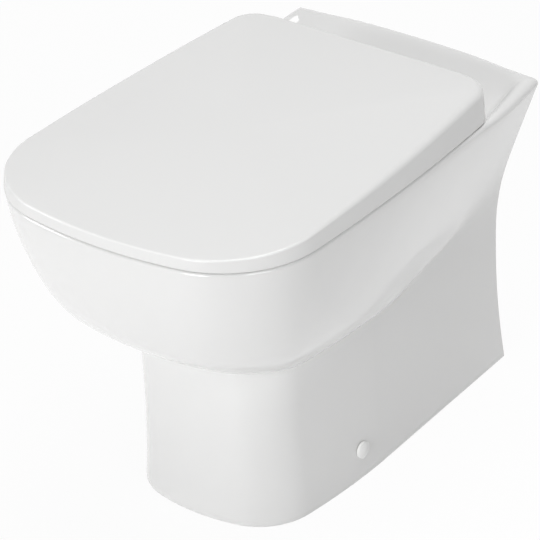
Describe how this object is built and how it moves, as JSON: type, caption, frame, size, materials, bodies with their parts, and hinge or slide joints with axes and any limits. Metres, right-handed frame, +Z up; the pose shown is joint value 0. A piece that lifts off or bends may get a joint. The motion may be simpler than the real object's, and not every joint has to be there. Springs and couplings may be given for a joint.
{
  "type": "back to wall toilet",
  "caption": "Floor-standing ceramic toilet whose pan meets the wall, with a wrap-over soft-close lid and seat on lift-off hinges, a horizontal trap outlet and hidden side fixings",
  "frame": {"origin": "on the floor, below the centre of the bounding box: midway between the wall and the front of the lid", "axes": "+Z up, +Y towards the wall that the pan stands against, +X to the right seen from the front"},
  "size_m": [0.361, 0.546, 0.409],
  "materials": {
    "ceramic": "gloss white glaze",
    "seat_plastic": "gloss white duroplast",
    "cap_plastic": "gloss white",
    "damper_plastic": "matte dark grey",
    "buffer_rubber": "matte pale grey",
    "dark_rubber": "matte black",
    "chrome": "polished",
    "steel": "plain zinc-plated"
  },
  "bodies": {
    "root": {"pan": "ceramic", "hinge_plate_left": "chrome", "hinge_plate_right": "chrome", "fixing_studs": "steel", "stud_bushes": "dark_rubber", "stud_washers": "steel", "stud_nuts": "steel", "floor_bracket_left": "steel", "floor_bracket_right": "steel", "side_screws": "steel", "screw_cups": "cap_plastic", "cap_left": "cap_plastic", "cap_right": "cap_plastic", "inlet_seal": "dark_rubber"},
    "hinge_set": {"hinge_pillar_left": "chrome", "hinge_pillar_right": "chrome", "pivot_pin_left": "steel", "pivot_pin_right": "steel", "lid_damper_shaft": "steel", "seat_damper_shaft": "steel", "button_spring_left": "steel", "button_spring_right": "steel"},
    "release_button_left": {"release_button_left": "chrome"},
    "release_button_right": {"release_button_right": "chrome"},
    "seat": {"seat": "seat_plastic", "seat_buffers": "buffer_rubber", "seat_damper": "damper_plastic"},
    "lid": {"lid": "seat_plastic", "lid_buffers": "buffer_rubber", "lid_damper": "damper_plastic"}
  },
  "joints": [
    {"name": "lift_off", "type": "slide", "parent": "root", "child": "hinge_set", "axis": [0, 0, 1], "range_m": [0, 0.02]},
    {"name": "seat_hinge", "type": "hinge", "parent": "hinge_set", "child": "seat", "pos_m": [0, 0.171, 0.384], "axis": [-1, 0, 0], "range_deg": [0, 92]},
    {"name": "lid_hinge", "type": "hinge", "parent": "seat", "child": "lid", "pos_m": [0, 0.171, 0.384], "axis": [1, 0, 0], "range_deg": [-97, 0]},
    {"name": "left_button_press", "type": "slide", "parent": "hinge_set", "child": "release_button_left", "axis": [0, 0, -1], "range_m": [0, 0.0025], "stiffness_N_per_m": 300, "springref_m": -0.003, "deforming": ["button_spring_left"]},
    {"name": "right_button_press", "type": "slide", "parent": "hinge_set", "child": "release_button_right", "axis": [0, 0, -1], "range_m": [0, 0.0025], "stiffness_N_per_m": 300, "springref_m": -0.003, "deforming": ["button_spring_right"]}
  ]
}
